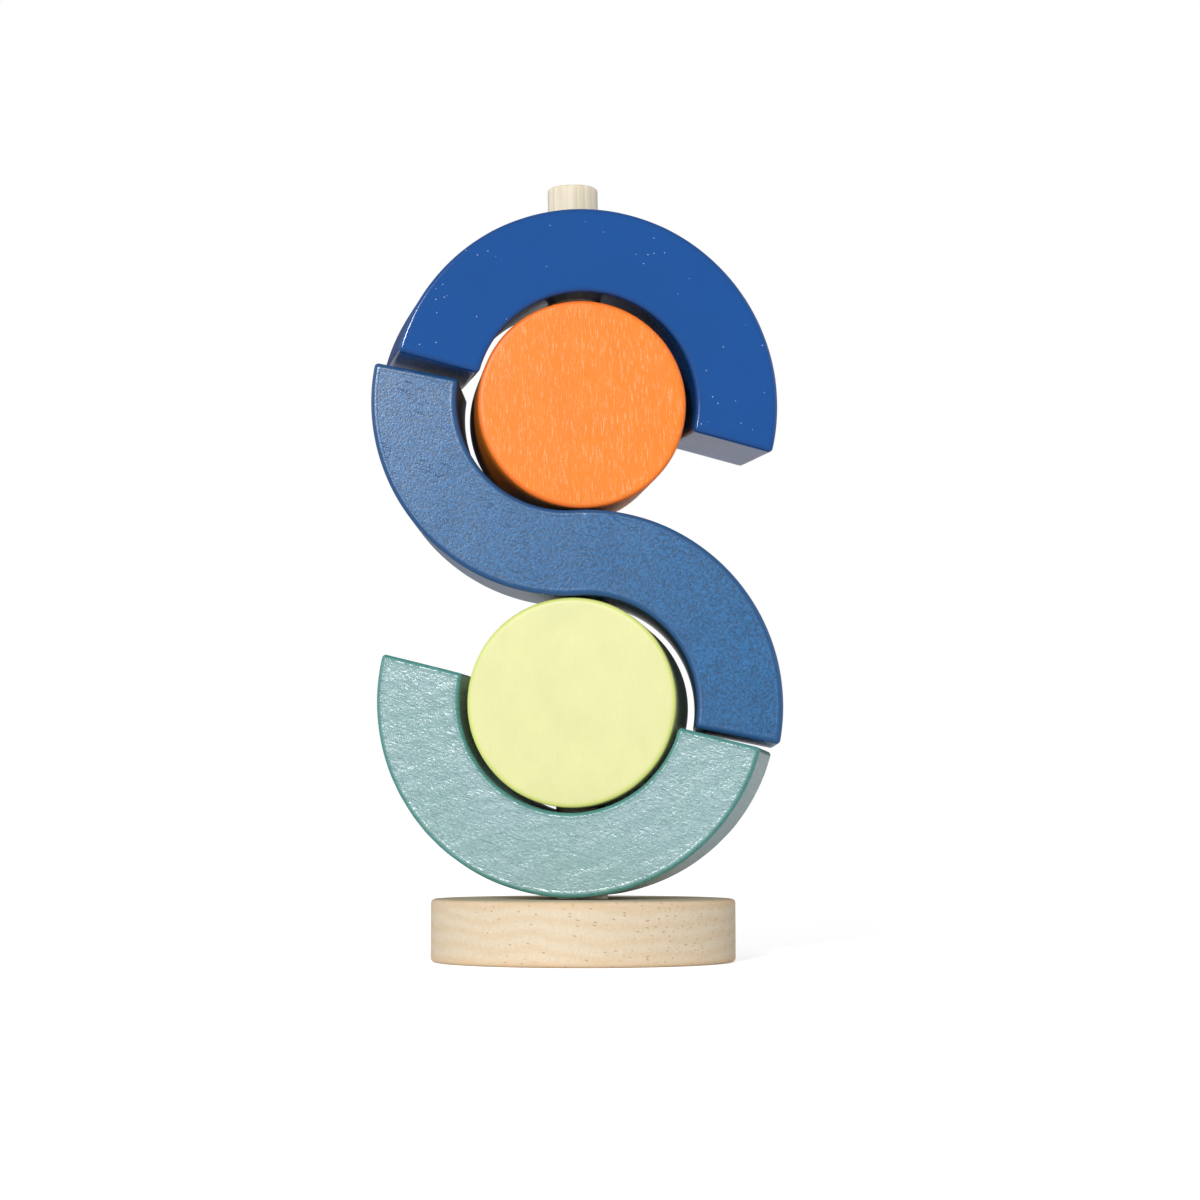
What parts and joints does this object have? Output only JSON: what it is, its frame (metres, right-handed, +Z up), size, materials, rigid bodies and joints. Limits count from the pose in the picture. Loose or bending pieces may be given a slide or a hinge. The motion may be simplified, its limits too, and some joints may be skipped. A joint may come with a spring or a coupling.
{
  "type": "stacking toy",
  "caption": "Wooden stacking toy: painted arcs, discs and an S curve that nest in one another on a round dowel post fixed in a round natural base.",
  "frame": {"origin": "middle of the base's underside", "axes": "+Z up, square to the base's underside, with the post leaning 0.85 degrees from it towards -X, -Y the side that the faces look to, +X to the right as seen from that side"},
  "size_m": [0.1208, 0.09, 0.2314],
  "materials": {
    "bare_base_wood": "bare sanded pale pine, satin",
    "bare_post_wood": "bare sanded birch dowel, satin",
    "sage_green_paint": "brushed water-based paint on wood, raised grain, semi-gloss",
    "lime_paint": "thin water-based paint on wood, satin",
    "slate_blue_paint": "water-based paint on open-grained wood, satin",
    "orange_paint": "thin stain-like paint on wood, satin",
    "royal_blue_paint": "sprayed smooth paint on wood, satin"
  },
  "bodies": {
    "root": {"base": "bare_base_wood", "post": "bare_post_wood"},
    "lower_arc": {"lower_arc": "sage_green_paint"},
    "lower_disc": {"lower_disc": "lime_paint"},
    "s_curve": {"s_curve": "slate_blue_paint"},
    "upper_disc": {"upper_disc": "orange_paint"},
    "upper_arc": {"upper_arc": "royal_blue_paint"}
  },
  "joints": [
    {"name": "lower_arc_lift", "type": "slide", "parent": "root", "child": "lower_arc", "axis": [-0.0148, 0, 0.9999], "range_m": [0, 0.215]},
    {"name": "lower_disc_lift", "type": "slide", "parent": "lower_arc", "child": "lower_disc", "axis": [-0.0148, 0, 0.9999], "range_m": [0, 0.19]},
    {"name": "s_curve_lift", "type": "slide", "parent": "lower_disc", "child": "s_curve", "axis": [-0.0148, 0, 0.9999], "range_m": [0, 0.172]},
    {"name": "upper_disc_lift", "type": "slide", "parent": "s_curve", "child": "upper_disc", "axis": [-0.0148, 0, 0.9999], "range_m": [0, 0.102]},
    {"name": "upper_arc_lift", "type": "slide", "parent": "upper_disc", "child": "upper_arc", "axis": [-0.0148, 0, 0.9999], "range_m": [-0.0015, 0.085]}
  ]
}
